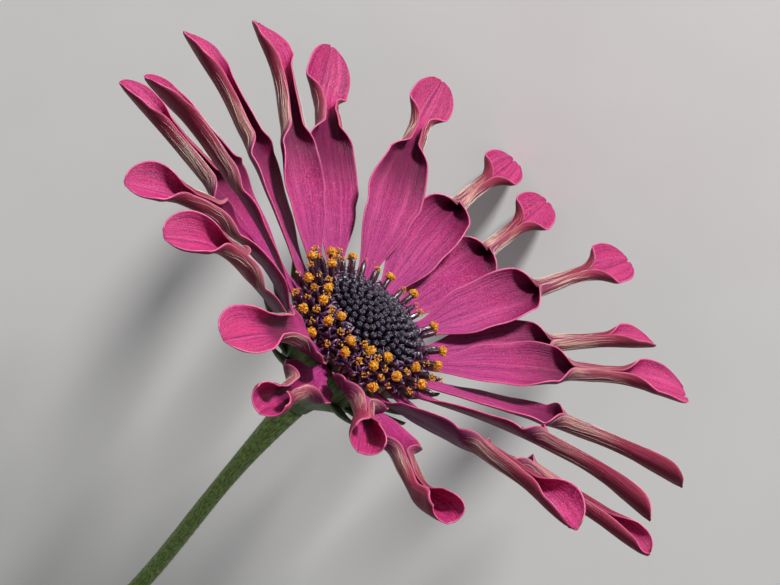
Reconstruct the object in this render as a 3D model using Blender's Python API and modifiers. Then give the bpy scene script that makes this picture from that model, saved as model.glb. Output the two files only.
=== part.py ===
# African daisy with quilled petals: one cut bloom lying on its lower petal tips and its stem.
# Metres, +Z up, the surface it lies on at z = 0. The bloom faces -Y and a little upward.
import math

import bpy
import numpy as np
from mathutils import Matrix, Vector

MM = 0.001
NAME = "african_daisy"
SEED = 21

# where the bloom's centre stands, and how far its face leans back from upright
FACE_TILT = math.radians(20)
CENTRE = Vector((0.0006, -0.0336, 0.0310))

# receptacle and disc
CUP_RADIUS = 5.9 * MM
CUP_TOP = -0.65 * MM
CUP_DEPTH = 8.6 * MM
NECK_RADIUS = 1.45 * MM
DISC_RADIUS = 5.1 * MM
DISC_BASE = -0.30 * MM
DISC_RISE = 2.9 * MM
FLORETS = 104
OPEN_FROM = 66

# bracts under the petals
BRACTS = 18
BRACT_LENGTH = 6.4 * MM
BRACT_WIDTH = 1.4 * MM
BRACT_THICKNESS = 0.7 * MM

# stem
STEM_RADIUS = 0.85 * MM
STEM_TOP_RADIUS = 1.30 * MM
STEM_GAP = 0.35 * MM
STEM_LENGTH = 80.0 * MM
STEM_SWAY = 1.0 * MM
STEM_END_SIDE = 8.0 * MM

# petals
PETAL_THICKNESS = 0.60 * MM
PETAL_ROOT = 5.6 * MM
CURL_POWER = 1.3
STATIONS = (0, .06, .13, .22, .32, .41, .48, .54, .60, .67, .73, .78, .83, .88, .925, .965, 1)
ACROSS = 6
COMMON = dict(lift=28, arch=-12, pitch=-13, sweep=0, length=28.0, tip=0, twist=0, tilt=0, neck=5.3,
              spoon=5.4, roll=172, bowl=45, pinch=.56, flare=.80, shoulder=.72)

# the petals overlap in two layers: the upper ones start higher, are wider and more deeply cupped
UPPER = dict(COMMON, root=.55, wide=6.2, cup=49)
LOWER = dict(COMMON, root=-.05, wide=5.8, cup=33)

# One row for each petal, going round the bloom: where it starts in degrees, its layer, then what
# differs from the common shape. Angles in degrees, sizes in millimetres.
PETALS = (
    (198.5, UPPER, dict(lift=35.5, arch=-11, pitch=-7, length=28.0, root=.6, tilt=20, twist=28, cup=43,
                        spoon=5.0, pinch=.61, bowl=70)),
    (184.5, LOWER, dict(lift=16, arch=-5, pitch=0, sweep=1, length=26.4, twist=15, root=.2, spoon=4.8,
                        cup=29, bowl=70)),
    (166, LOWER, dict(lift=25.5, arch=-13, pitch=-12, sweep=-6, length=27.6, tilt=22, twist=20,
                      spoon=5.3, pinch=.575, bowl=60)),
    (149, UPPER, dict(lift=29, arch=-15, pitch=-20, sweep=-6, length=28.1, root=.45, tilt=1, twist=14,
                      spoon=5.6, shoulder=.64, bowl=52)),
    (133, LOWER, dict(lift=21, arch=-23, pitch=-20, sweep=-13, length=30.0, tip=50, twist=12, spoon=6.0,
                      pinch=.62, flare=.77, shoulder=.62, bowl=35)),
    (112, UPPER, dict(lift=31, arch=-22.5, pitch=-22, sweep=-3, length=27.9, tip=45, tilt=-1, root=.7,
                      spoon=5.0, pinch=.64, flare=.79, shoulder=.6, bowl=42)),
    (96, UPPER, dict(lift=25.5, arch=-20, pitch=-28, sweep=-11, length=29.8, tip=30, tilt=-9, root=.28,
                     cup=48, spoon=4.9, flare=.78, shoulder=.8)),
    (80, LOWER, dict(lift=21, arch=-17, pitch=-20, sweep=5, length=29.5, tip=30, tilt=-4, spoon=5.0,
                     flare=.78, shoulder=.8)),
    (61.5, UPPER, dict(lift=29, arch=-16, pitch=-24, sweep=4.7, length=29.6, tip=20, pinch=.54,
                       spoon=5.3, flare=.78, shoulder=.8)),
    (46.5, LOWER, dict(lift=24, arch=-10.5, pitch=-5, sweep=5.5, root=-.13, length=27.7, tilt=-.5,
                       twist=-22, spoon=4.6, bowl=80)),
    (31, UPPER, dict(lift=30.5, arch=-13, pitch=-15, sweep=8.5, length=28.2, tilt=-1, twist=-8,
                     spoon=5.3, flare=.745, bowl=60)),
    (15, LOWER, dict(lift=24, arch=-7.5, pitch=-10, sweep=-1, length=27.8, root=.5, tilt=-24, cup=22,
                     twist=-34, bowl=145, spoon=5.2)),
    (-1.5, UPPER, dict(lift=31.5, arch=-10, pitch=-14.5, sweep=-3, length=26.8, root=.1, tilt=-33,
                       twist=-34, cup=24, wide=5.8, spoon=5.2, bowl=145)),
    (-17, LOWER, dict(lift=27.6, arch=-8, pitch=-8, sweep=13, length=29.1, root=.05, tilt=-28, cup=24,
                      twist=5, spoon=4.9, bowl=112, flare=.84)),
    (-37.5, UPPER, dict(lift=37.5, arch=-8, pitch=-13, sweep=12, length=27.7, root=-.05, tilt=-32,
                        twist=10, cup=26, wide=5.8, spoon=5.6, bowl=88)),
    (-59, LOWER, dict(lift=29, arch=-12, pitch=5, sweep=8.5, length=27.7, tip=36, tilt=3, twist=15,
                      spoon=5.8, bowl=98)),
    (-75, UPPER, dict(lift=33, arch=-6, pitch=-9, sweep=-3.5, length=27.0, tip=-2, spoon=5.8, bowl=100,
                      flare=.79)),
    (-91.5, LOWER, dict(lift=27, arch=-7, pitch=2, sweep=-3, length=28.5, twist=10, spoon=5.8, bowl=118,
                        flare=.76)),
    (-104, UPPER, dict(lift=35.5, arch=-7.5, pitch=-16, sweep=-4, length=26.6, root=1.0, tip=0,
                       tilt=-10, spoon=5.8, bowl=50, flare=.77)),
    (-125, LOWER, dict(lift=35.5, arch=-3, pitch=-18, sweep=-2, length=27.9, tip=-15, tilt=18, cup=30,
                       spoon=5.8, bowl=66, pinch=.65, flare=.8)),
    (-142.5, UPPER, dict(lift=40, arch=-19, pitch=-18, sweep=6, length=28.0, root=.1, tip=-5, tilt=22,
                         spoon=5.6, bowl=62, pinch=.67, flare=.82)),
)

for old in list(bpy.data.objects):
    bpy.data.objects.remove(old, do_unlink=True)

PARTS = bpy.data.collections.new(NAME)
bpy.context.scene.collection.children.link(PARTS)

# the bloom's own frame: x and y in the plane of its face, z out of the face
BLOOM = Matrix.Translation(CENTRE) @ Matrix((
    (-1, 0, 0, 0),
    (0, -math.sin(FACE_TILT), -math.cos(FACE_TILT), 0),
    (0, -math.cos(FACE_TILT), math.sin(FACE_TILT), 0),
    (0, 0, 0, 1)))


def material(name, colour, roughness):
    made = bpy.data.materials.new(name)
    made.use_nodes = True
    shader = made.node_tree.nodes["Principled BSDF"]
    shader.inputs["Base Color"].default_value = (*colour, 1)
    shader.inputs["Roughness"].default_value = roughness
    shader.inputs["Metallic"].default_value = 0
    return made


MAGENTA = material("petal_magenta", (0.52, 0.045, 0.20), 0.55)
DARK = material("disc_dark_violet", (0.030, 0.018, 0.060), 0.45)
GREEN = material("bract_green", (0.13, 0.20, 0.055), 0.65)
STEM_GREEN = material("stem_green", (0.15, 0.19, 0.07), 0.70)


def adopt(obj, name, look, angle=35):
    # gives a new object its name and material and moves it into the parts collection
    for holder in list(obj.users_collection):
        holder.objects.unlink(obj)
    PARTS.objects.link(obj)
    obj.name = name
    obj.data.name = name
    obj.data.materials.clear()
    obj.data.materials.append(look)
    bpy.context.view_layer.objects.active = obj
    for other in bpy.context.selected_objects:
        other.select_set(False)
    obj.select_set(True)
    bpy.ops.object.shade_smooth()
    obj.data.set_sharp_from_angle(angle=math.radians(angle))
    return obj


def ease(t):
    t = np.clip(t, 0, 1)
    return t * t * (3 - 2 * t)


def keyed(u, keys):
    # a smooth curve through (u, value) pairs
    places = np.array([key[0] for key in keys], float)
    values = np.array([key[1] for key in keys], float)
    index = np.clip(np.searchsorted(places, u, side="right") - 1, 0, len(places) - 2)
    t = (u - places[index]) / (places[index + 1] - places[index])
    return values[index] + (values[index + 1] - values[index]) * ease(t)


def petal_sheet(stations, across, p):
    # Points of the petal's middle surface, x outward, y sideways, z out of the face.
    u = np.array(stations, float)
    v = np.linspace(-1, 1, across + 1)
    pinch, flare = p["pinch"], p["flare"]
    width = keyed(u, [(0, 1.0), (.09, 1.8), (pinch * .5, p["wide"] * .84),
                      (pinch * p["shoulder"], p["wide"]), (pinch + .05, p["neck"]),
                      (flare - .06, p["neck"] * .92), (.5 * (flare + 1) - .01, p["spoon"]),
                      (1, p["spoon"] * .9)])
    rounding = np.clip((u - .90) / .10, 0, 1)
    width = width * np.sqrt(np.clip(1 - rounding ** 2.4, 0, 1))
    width = np.maximum(width, .9)
    curl = np.radians(keyed(u, [
        (0, 10), (.12, p["cup"] * .6), (pinch * .62, p["cup"] * .8), (pinch * .86, p["cup"] * 1.45),
        (pinch, p["roll"] * .93), (pinch + .5 * (flare - pinch), p["roll"]),
        (flare - .02, p["roll"] * .9), (flare + .09, min(p["bowl"] * 1.2, 165)), (1, p["bowl"] * .75)]))
    fine = np.linspace(0, 1, 101)
    rise = np.radians(p["lift"] - 15 * (1 - ease(fine / .2)) + p["arch"] * ease((fine - .12) / .45)
                      + p["pitch"] * ease((fine - .60) / .30)
                      + p["tip"] * ease((fine - flare + .04) / .16))
    turn = np.radians(p["sweep"] * ease((fine - .15) / .6))
    lean = np.radians(p["tilt"] * (ease(fine / .2) - ease((fine - .42) / .25))
                      + p["twist"] * ease((fine - pinch + .1) / .35))
    along = np.stack([np.cos(rise) * np.cos(turn), np.cos(rise) * np.sin(turn), np.sin(rise)], 1)
    side = np.stack([-np.sin(turn), np.cos(turn), 0 * turn], 1)
    up = np.cross(along, side)
    path = np.zeros((101, 3))
    path[1:] = np.cumsum((along[1:] + along[:-1]) / 2, 0) * p["length"] / 100
    path += (PETAL_ROOT / MM, 0, p["root"])
    points = []
    for i, station in enumerate(u):
        k = int(round(station * 100))
        across_axis = math.cos(lean[k]) * side[k] + math.sin(lean[k]) * up[k]
        up_axis = math.cos(lean[k]) * up[k] - math.sin(lean[k]) * side[k]
        edge = np.linspace(0, 1, 41)
        slope = curl[i] * edge ** CURL_POWER
        out = np.concatenate([[0], np.cumsum((np.cos(slope[1:]) + np.cos(slope[:-1])) / 2)])
        high = np.concatenate([[0], np.cumsum((np.sin(slope[1:]) + np.sin(slope[:-1])) / 2)])
        out = np.interp(np.abs(v), edge, out) / 40 * width[i] / 2 * np.sign(v)
        high = np.interp(np.abs(v), edge, high) / 40 * width[i] / 2
        for j in range(len(v)):
            points.append(path[k] + out[j] * across_axis + high[j] * up_axis)
    return np.array(points) * MM


def petal(number, azimuth, layer, changes):
    p = dict(layer, **changes)
    rows, columns = len(STATIONS), ACROSS + 1
    bpy.ops.mesh.primitive_grid_add(x_subdivisions=ACROSS, y_subdivisions=rows - 1, size=1)
    obj = adopt(bpy.context.object, f"petal_{number:02d}", MAGENTA, 60)
    points = petal_sheet(STATIONS, ACROSS, p)
    for index, vertex in enumerate(obj.data.vertices):
        vertex.co = points[(index // columns) * columns + index % columns]
    split = obj.modifiers.new("split", "TRIANGULATE")
    split.quad_method = "FIXED"
    skin = obj.modifiers.new("thickness", "SOLIDIFY")
    skin.thickness = PETAL_THICKNESS
    skin.offset = 0
    obj.matrix_world = BLOOM @ Matrix.Rotation(math.radians(azimuth), 4, "Z")
    return obj


def turned(name, profile, steps, look):
    # a body of revolution about z from a profile of (radius, height) pairs, top to bottom
    mesh = bpy.data.meshes.new(name)
    mesh.from_pydata([(r, 0, z) for r, z in profile], [(i, i + 1) for i in range(len(profile) - 1)], [])
    obj = bpy.data.objects.new(name, mesh)
    PARTS.objects.link(obj)
    screw = obj.modifiers.new("turn", "SCREW")
    screw.axis = "Z"
    screw.steps = steps
    screw.render_steps = steps
    screw.use_merge_vertices = True
    screw.merge_threshold = 1e-5
    screw.use_normal_calculate = True
    bpy.context.view_layer.objects.active = obj
    for other in bpy.context.selected_objects:
        other.select_set(False)
    obj.select_set(True)
    bpy.ops.object.modifier_apply(modifier="turn")
    return adopt(obj, name, look)


def join_all(obj, pieces, solver="EXACT"):
    # fuses a collection of pieces into obj with one Boolean and clears them away
    holder = bpy.data.collections.new(obj.name + "_pieces")
    bpy.context.scene.collection.children.link(holder)
    for piece in pieces:
        for old in list(piece.users_collection):
            old.objects.unlink(piece)
        holder.objects.link(piece)
    union = obj.modifiers.new("join", "BOOLEAN")
    union.operation = "UNION"
    union.operand_type = "COLLECTION"
    union.collection = holder
    union.solver = solver
    bpy.context.view_layer.objects.active = obj
    bpy.ops.object.modifier_apply(modifier="join")
    for piece in list(holder.objects):
        bpy.data.objects.remove(piece, do_unlink=True)
    bpy.data.collections.remove(holder)
    return obj


def aim(direction):
    return direction.to_track_quat("Z", "Y").to_matrix().to_4x4()


def disc():
    # a low dome covered with florets: closed buds in the middle, open ones with round heads outside
    b = DISC_BASE
    dome = [(0, DISC_RISE), (DISC_RADIUS * .40, DISC_RISE * .93), (DISC_RADIUS * .72, DISC_RISE * .68),
            (DISC_RADIUS * .93, DISC_RISE * .34), (DISC_RADIUS, b + .35 * MM), (DISC_RADIUS * .93, b),
            (0, b)]
    body = turned("disc", dome, 20, DARK)
    rng = np.random.default_rng(SEED)
    pieces = []
    golden = math.pi * (3 - math.sqrt(5))
    for i in range(FLORETS):
        share = math.sqrt((i + .5) / FLORETS)
        angle = i * golden
        radius = DISC_RADIUS * share * .97
        height = DISC_RISE * math.sqrt(max(0, 1 - (share * .97) ** 2)) * .97
        opened = i >= OPEN_FROM
        lean = math.radians((54 + 5 * math.sin(angle)) * share ** 1.7 + rng.uniform(-3, 3))
        stand = (1.35 + .25 * share) * MM
        if opened:
            stand = (2.7 + 1.2 * (share - .8) / .2 + rng.uniform(-.35, .35)) * MM
        way = Vector((math.sin(lean) * math.cos(angle), math.sin(lean) * math.sin(angle),
                      math.cos(lean)))
        foot = Vector((radius * math.cos(angle), radius * math.sin(angle), max(height, .75 * MM)))
        start = foot - way * .8 * MM
        long = stand + .8 * MM
        bpy.ops.mesh.primitive_cone_add(vertices=5, radius1=.24 * MM if opened else .36 * MM,
                                        radius2=.34 * MM if opened else .30 * MM, depth=long)
        shaft = bpy.context.object
        shaft.matrix_world = (Matrix.Translation(start + way * long / 2) @ aim(way)
                              @ Matrix.Rotation(rng.uniform(0, 6), 4, "Z"))
        pieces.append(shaft)
        if opened and i % 5 != 2:
            bpy.ops.mesh.primitive_ico_sphere_add(subdivisions=1, radius=.50 * MM)
            head = bpy.context.object
            head.matrix_world = (Matrix.Translation(foot + way * stand) @ aim(way)
                                 @ Matrix.Rotation(rng.uniform(0, 6), 4, "Z"))
            pieces.append(head)
    join_all(body, pieces)
    body.matrix_world = BLOOM
    return body


def bract(index):
    # a narrow pointed blade from the side of the cup, spreading out under the petals
    share = index / BRACTS
    bpy.ops.mesh.primitive_grid_add(x_subdivisions=1, y_subdivisions=5, size=1)
    blade = bpy.context.object
    rise = math.radians(32 + 3 * math.sin(index * 2.4))
    length = BRACT_LENGTH * (1 + .10 * math.sin(index * 1.7))
    for vertex in blade.data.vertices:
        side, t = vertex.co.x * 2, vertex.co.y + .5
        width = max(BRACT_WIDTH * (.50 + 1.7 * t - 2.1 * t * t), .6 * MM) / 2
        bow = math.sin(math.pi * t) * .06 * length
        x = CUP_RADIUS * .66 + math.cos(rise) * t * length + math.sin(rise) * bow
        z = CUP_TOP - 3.3 * MM + math.sin(rise) * t * length - math.cos(rise) * bow
        vertex.co = (x, side * width, z)
    split = blade.modifiers.new("split", "TRIANGULATE")
    split.quad_method = "FIXED"
    skin = blade.modifiers.new("thickness", "SOLIDIFY")
    skin.thickness = BRACT_THICKNESS
    skin.offset = 0
    bpy.context.view_layer.objects.active = blade
    bpy.ops.object.modifier_apply(modifier="split")
    bpy.ops.object.modifier_apply(modifier="thickness")
    blade.matrix_world = Matrix.Rotation(2 * math.pi * share + .05 * math.sin(index * 3.1), 4, "Z")
    return blade


def involucre():
    # the green cup under the disc with its ring of bracts
    low = CUP_TOP - CUP_DEPTH
    profile = [(0, CUP_TOP), (CUP_RADIUS * .93, CUP_TOP), (CUP_RADIUS, CUP_TOP - .4 * MM),
               (CUP_RADIUS * .94, CUP_TOP - 2.2 * MM), (CUP_RADIUS * .76, CUP_TOP - 4.2 * MM),
               (CUP_RADIUS * .50, CUP_TOP - 5.9 * MM), (NECK_RADIUS * 1.25, CUP_TOP - 7.3 * MM),
               (NECK_RADIUS, low), (0, low)]
    cup = turned("involucre", profile, 20, GREEN)
    join_all(cup, [bract(i) for i in range(BRACTS)])
    cup.matrix_world = BLOOM
    return cup


def stem():
    # a tube from just under the cup, bending down to lie with its cut end on the surface
    top = BLOOM @ Vector((0, 0, CUP_TOP - CUP_DEPTH - STEM_GAP))
    start = (BLOOM.to_3x3() @ Vector((0, 0, -1))).normalized()
    end = Vector((top.x, top.y + STEM_LENGTH * .955, STEM_RADIUS * 1.02))
    reach = (end - top).length
    handle_a = top + start * reach * .38
    handle_b = end + Vector((0, -reach * .36, reach * .030))
    curve = bpy.data.curves.new("stem", "CURVE")
    curve.dimensions = "3D"
    curve.bevel_depth = STEM_RADIUS
    curve.bevel_resolution = 3
    curve.resolution_u = 1
    curve.use_fill_caps = True
    spline = curve.splines.new("POLY")
    steps = 22
    spline.points.add(steps)
    for k in range(steps + 1):
        t = k / steps
        at = ((1 - t) ** 3 * top + 3 * (1 - t) ** 2 * t * handle_a
              + 3 * (1 - t) * t ** 2 * handle_b + t ** 3 * end)
        at.x += (STEM_END_SIDE * float(ease((t - .35) / .65))
                 - STEM_SWAY * math.sin(math.pi * min(t / .7, 1)) ** 3)
        spline.points[k].co = (*at, 1)
        spline.points[k].radius = 1 + (STEM_TOP_RADIUS / STEM_RADIUS - 1) * (1 - min(t / .16, 1)) ** 2
    drawn = bpy.data.objects.new("stem_curve", curve)
    bpy.context.scene.collection.objects.link(drawn)
    bpy.context.view_layer.update()
    made = bpy.data.meshes.new_from_object(drawn.evaluated_get(bpy.context.evaluated_depsgraph_get()))
    bpy.data.objects.remove(drawn, do_unlink=True)
    obj = bpy.data.objects.new("stem", made)
    PARTS.objects.link(obj)
    bpy.context.view_layer.objects.active = obj
    for other in bpy.context.selected_objects:
        other.select_set(False)
    obj.select_set(True)
    bpy.ops.object.mode_set(mode="EDIT")
    bpy.ops.mesh.select_all(action="SELECT")
    bpy.ops.mesh.remove_doubles(threshold=1e-5)
    bpy.ops.mesh.normals_make_consistent(inside=False)
    bpy.ops.object.mode_set(mode="OBJECT")
    return adopt(obj, "stem", STEM_GREEN, 50)


disc()
involucre()
stem()
for number, (azimuth, layer, changes) in enumerate(PETALS, 1):
    petal(number, azimuth, layer, changes)
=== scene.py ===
# African daisy with quilled petals, one cut bloom lying on a pale table top.
# Sizes are in millimetres inside the dictionaries and in metres on the objects.
import math

import bmesh
import bpy
import numpy as np
from mathutils import Matrix, Vector


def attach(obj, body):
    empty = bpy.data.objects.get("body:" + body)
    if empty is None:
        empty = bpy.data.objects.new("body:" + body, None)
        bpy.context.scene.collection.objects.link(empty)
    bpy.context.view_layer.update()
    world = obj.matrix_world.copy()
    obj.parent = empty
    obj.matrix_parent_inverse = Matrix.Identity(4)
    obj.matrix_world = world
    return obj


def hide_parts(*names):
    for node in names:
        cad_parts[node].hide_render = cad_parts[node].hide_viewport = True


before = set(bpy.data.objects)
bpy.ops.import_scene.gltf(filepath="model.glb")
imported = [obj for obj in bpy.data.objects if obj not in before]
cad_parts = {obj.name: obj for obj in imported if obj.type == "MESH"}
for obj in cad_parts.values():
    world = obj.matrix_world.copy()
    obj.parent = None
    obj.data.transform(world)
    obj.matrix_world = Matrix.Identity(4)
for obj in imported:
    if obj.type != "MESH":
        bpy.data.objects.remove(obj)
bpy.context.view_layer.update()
mm = 0.001

# where the bloom stands and how far its face leans back; the same as in the solids
bloomPlace = {"centre": (0.0006, -0.0336, 0.0310), "faceTilt": 20}
lean = math.radians(bloomPlace["faceTilt"])
bloom = Matrix.Translation(bloomPlace["centre"]) @ Matrix((
    (-1, 0, 0, 0),
    (0, -math.sin(lean), -math.cos(lean), 0),
    (0, -math.cos(lean), math.sin(lean), 0),
    (0, 0, 0, 1)))
turnOnly = bloom.to_3x3()


def ease(t):
    t = np.clip(t, 0, 1)
    return t * t * (3 - 2 * t)


def keyed(u, keys):
    # a smooth curve through (place, value) pairs
    places = np.array([k[0] for k in keys], float)
    values = np.array([k[1] for k in keys], float)
    index = np.clip(np.searchsorted(places, u, side="right") - 1, 0, len(places) - 2)
    t = (u - places[index]) / (places[index + 1] - places[index])
    return values[index] + (values[index + 1] - values[index]) * ease(t)


def bump(x, middle, width):
    return np.exp(-((x - middle) / width) ** 2)


def meshFrom(name, points, faces, matrix=None, smooth=True):
    mesh = bpy.data.meshes.new(name)
    mesh.from_pydata([tuple(q) for q in points], [], [tuple(int(i) for i in f) for f in faces])
    if smooth:
        mesh.polygons.foreach_set("use_smooth", [True] * len(mesh.polygons))
    mesh.update()
    piece = bpy.data.objects.new(name, mesh)
    bpy.context.scene.collection.objects.link(piece)
    if matrix is not None:
        piece.matrix_world = matrix
    return piece


def gridFaces(rows, columns, start=0, wrap=False):
    faces = []
    for r in range(rows - 1):
        for c in range(columns if wrap else columns - 1):
            a = start + r * columns + c
            b = start + r * columns + (c + 1) % columns
            faces.append((a, b, b + columns, a + columns))
    return faces


def tag(piece, name, values):
    # a named value on every point that the materials read
    made = piece.data.attributes.new(name, "FLOAT_VECTOR", "POINT")
    made.data.foreach_set("vector", np.asarray(values, np.float32).ravel())


def finishPiece(piece, nodes, looks):
    # every piece rides on the one body; nodes are the solids that it stands for
    for look in looks:
        piece.data.materials.append(look)
    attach(piece, "root")
    if nodes:
        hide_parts(*nodes)


class Heap:
    # gathers many small forms into one mesh, each with its own tag values
    def __init__(self):
        self.points, self.faces, self.values, self.count = [], [], [], 0

    def add(self, points, faces, matrix, value=(0, 0, 0)):
        points = np.asarray(points, float)
        turned = points @ np.array(matrix.to_3x3()).T + np.array(matrix.translation)
        self.points.append(turned)
        self.faces.extend(tuple(i + self.count for i in f) for f in faces)
        value = np.asarray(value, float)
        self.values.append(np.broadcast_to(value, (len(points), 3)) if value.ndim == 1 else value)
        self.count += len(points)

    def make(self, name, matrix, tagName="kind"):
        piece = meshFrom(name, np.concatenate(self.points) * mm, self.faces, matrix)
        tag(piece, tagName, np.concatenate(self.values))
        return piece


class Look:
    # a material whose nodes are added one after another
    def __init__(self, name, roughness=0.5, **sockets):
        self.material = bpy.data.materials.new(name)
        self.material.use_nodes = True
        self.tree = self.material.node_tree
        self.shader = self.tree.nodes["Principled BSDF"]
        self.shader.inputs["Roughness"].default_value = roughness
        for socket, value in sockets.items():
            self.shader.inputs[socket.replace("_", " ")].default_value = value

    def add(self, kind, **settings):
        node = self.tree.nodes.new("ShaderNode" + kind)
        for key, value in settings.items():
            setattr(node, key, value)
        return node

    def join(self, source, target):
        self.tree.links.new(source, target)

    def put(self, target, value):
        if isinstance(value, bpy.types.NodeSocket):
            self.join(value, target)
        else:
            target.default_value = value

    def putColour(self, target, value):
        self.put(target, value if isinstance(value, bpy.types.NodeSocket) else (*value, 1))

    def sums(self, operation, a, b=0.0):
        node = self.add("Math", operation=operation)
        self.put(node.inputs[0], a)
        self.put(node.inputs[1], b)
        return node.outputs[0]

    def times(self, a, b):
        return self.sums("MULTIPLY", a, b)

    def between(self, value, low, high, toLow=0.0, toHigh=1.0):
        node = self.add("MapRange", interpolation_type="SMOOTHSTEP")
        self.put(node.inputs["Value"], value)
        limits = (("From Min", low), ("From Max", high), ("To Min", toLow), ("To Max", toHigh))
        for socket, number in limits:
            self.put(node.inputs[socket], number)
        return node.outputs["Result"]

    def mixed(self, amount, a, b):
        node = self.add("Mix", data_type="RGBA")
        self.put(node.inputs[0], amount)
        self.putColour(node.inputs[6], a)
        self.putColour(node.inputs[7], b)
        return node.outputs[2]

    def readTag(self, name):
        source = self.add("Attribute", attribute_name=name)
        apart = self.add("SeparateXYZ")
        self.join(source.outputs["Vector"], apart.inputs[0])
        return apart.outputs

    def noise(self, vector, scale, detail=4.0, roughness=0.55):
        node = self.add("TexNoise")
        self.join(vector, node.inputs["Vector"])
        node.inputs["Scale"].default_value = scale
        node.inputs["Detail"].default_value = detail
        node.inputs["Roughness"].default_value = roughness
        return node.outputs["Fac"]

    def stretched(self, tags, across, along, spread, scale, detail=4.0, roughness=0.55):
        # noise drawn out along a blade; the third tag keeps two blades from matching
        node = self.add("CombineXYZ")
        for i, (value, factor) in enumerate(zip(tags, (across, along, spread))):
            self.put(node.inputs[i], self.times(value, factor))
        return self.noise(node.outputs[0], scale, detail, roughness)

    def place(self):
        return self.add("TexCoord").outputs["Object"]

    def relief(self, height, strength, distance):
        node = self.add("Bump")
        node.inputs["Strength"].default_value = strength
        node.inputs["Distance"].default_value = distance
        self.join(height, node.inputs["Height"])
        self.join(node.outputs[0], self.shader.inputs["Normal"])

    def colour(self, source):
        self.putColour(self.shader.inputs["Base Color"], source)
        return self.material


petalPaint = {
    "lilac": (0.400, 0.036, 0.200), "body": (0.345, 0.006, 0.112), "spoon": (0.430, 0.016, 0.112),
    "light": (0.560, 0.062, 0.220), "streak": (0.110, 0.001, 0.060), "hollowShade": (0.070, 0.001, 0.022),
    "rim": (0.640, 0.130, 0.240), "glint": (0.720, 0.120, 0.330),
    "backPurple": (0.120, 0.006, 0.080), "backMaroon": (0.190, 0.009, 0.032),
    "backPink": (0.285, 0.022, 0.068), "backCreamAndHighlight": (0.780, 0.480, 0.360), "backDark": (0.036, 0.003, 0.018),
    "fibre": (0.780, 0.660, 0.560),
}


def petalInsideLook():
    look = Look("petalInside", 0.46, Specular_IOR_Level=0.26, Subsurface_Weight=0.10, Subsurface_Scale=0.0005)
    look.shader.inputs["Subsurface Radius"].default_value = (1.0, 0.2, 0.4)
    tags = look.readTag("blade")
    x, y = tags[0], tags[1]
    side = look.sums("ABSOLUTE", x)
    streak = look.stretched(tags, 13.0, 1.6, 37.0, 1.9, 6, 0.66)
    broad = look.stretched(tags, 3.4, 1.3, 51.0, 1.5, 4)
    cells = look.stretched(tags, 30.0, 190.0, 19.0, 1.0, 2)
    base = look.mixed(look.between(y, 0.08, 0.42), petalPaint["lilac"], petalPaint["body"])
    base = look.mixed(look.between(y, 0.66, 0.84), base, petalPaint["spoon"])
    mottle = look.stretched(tags, 10.0, 30.0, 71.0, 1.6, 4, 0.6)
    base = look.mixed(look.between(broad, 0.46, 0.70, 0.0, 0.62), base, petalPaint["light"])
    base = look.mixed(look.between(streak, 0.46, 0.64, 0.0, 0.80), base, petalPaint["streak"])
    base = look.mixed(look.between(mottle, 0.50, 0.68, 0.0, 0.50), base, petalPaint["streak"])
    neck = look.times(look.between(y, 0.32, 0.55), look.between(y, 0.66, 0.80, 1.0, 0.0))
    outsideNeck = look.sums("SUBTRACT", 1.0, look.times(neck, 0.9))
    glint = look.times(look.between(cells, 0.50, 0.70, 0.0, 0.55), outsideNeck)
    # painted shade: the rolled neck is darkened where its hollow lies in shadow
    base = look.mixed(look.times(neck, 0.75), base, petalPaint["hollowShade"])
    base = look.mixed(glint, base, petalPaint["glint"])
    # a dark line along the groove of the spoon
    groove = look.times(look.between(side, 0.01, 0.07, 0.55, 0.0), look.between(y, 0.76, 0.86))
    base = look.mixed(groove, base, petalPaint["streak"])
    # painted highlight: a pale line along both margins where the edge catches the light
    base = look.mixed(look.between(side, 0.94, 0.99, 0.0, 0.55), base, petalPaint["rim"])
    streakHeight = look.times(streak, look.between(y, 0.60, 0.85, 1.0, 0.5))
    look.relief(look.sums("ADD", streakHeight, look.times(cells, 0.45)), 0.7, 0.00020)
    return look.colour(base)


def petalBackLook():
    look = Look("petalBack", 0.46, Specular_IOR_Level=0.22, Subsurface_Weight=0.08, Subsurface_Scale=0.0005)
    look.shader.inputs["Subsurface Radius"].default_value = (1.0, 0.2, 0.4)
    tags = look.readTag("blade")
    x, y = tags[0], tags[1]
    side = look.sums("ABSOLUTE", x)
    streak = look.stretched(tags, 8.0, 1.5, 53.0, 2.0, 6, 0.62)
    fibre = look.stretched(tags, 32.0, 3.6, 41.0, 1.8, 6, 0.72)
    base = look.mixed(look.between(y, 0.35, 0.75), petalPaint["backPurple"], petalPaint["backMaroon"])
    pinkShare = look.between(y, 0.42, 0.66, 0.18, 0.75)
    base = look.mixed(look.times(look.between(streak, 0.42, 0.66), pinkShare), base, petalPaint["backPink"])
    base = look.mixed(look.between(fibre, 0.52, 0.70, 0.0, 0.5), base, petalPaint["backDark"])
    # cream on the shoulders of the rolled part, fading out towards the spoon: partly the neck's own
    # silvery cream colour and partly a painted highlight along the shoulder ridges
    neck = look.times(look.between(y, 0.50, 0.57), look.between(y, 0.58, 0.78, 1.0, 0.0))
    patch = look.between(look.stretched(tags, 2.6, 3.0, 67.0, 2.2, 3), 0.40, 0.62, 0.15, 1.0)
    flaps = look.times(look.between(side, 0.05, 0.50, 0.20, 1.0), patch)
    cream = look.times(look.times(neck, flaps), look.between(fibre, 0.38, 0.60, 1.0, 0.05))
    cream = look.times(cream, look.readTag("cream")[0])
    base = look.mixed(cream, base, petalPaint["backCreamAndHighlight"])
    # painted highlight: a pale line along the margins where the edge catches the light
    base = look.mixed(look.between(side, 0.90, 0.99, 0.0, 0.6), base, petalPaint["rim"])
    look.relief(look.sums("ADD", fibre, streak), 0.6, 0.00018)
    return look.colour(base)


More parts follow.
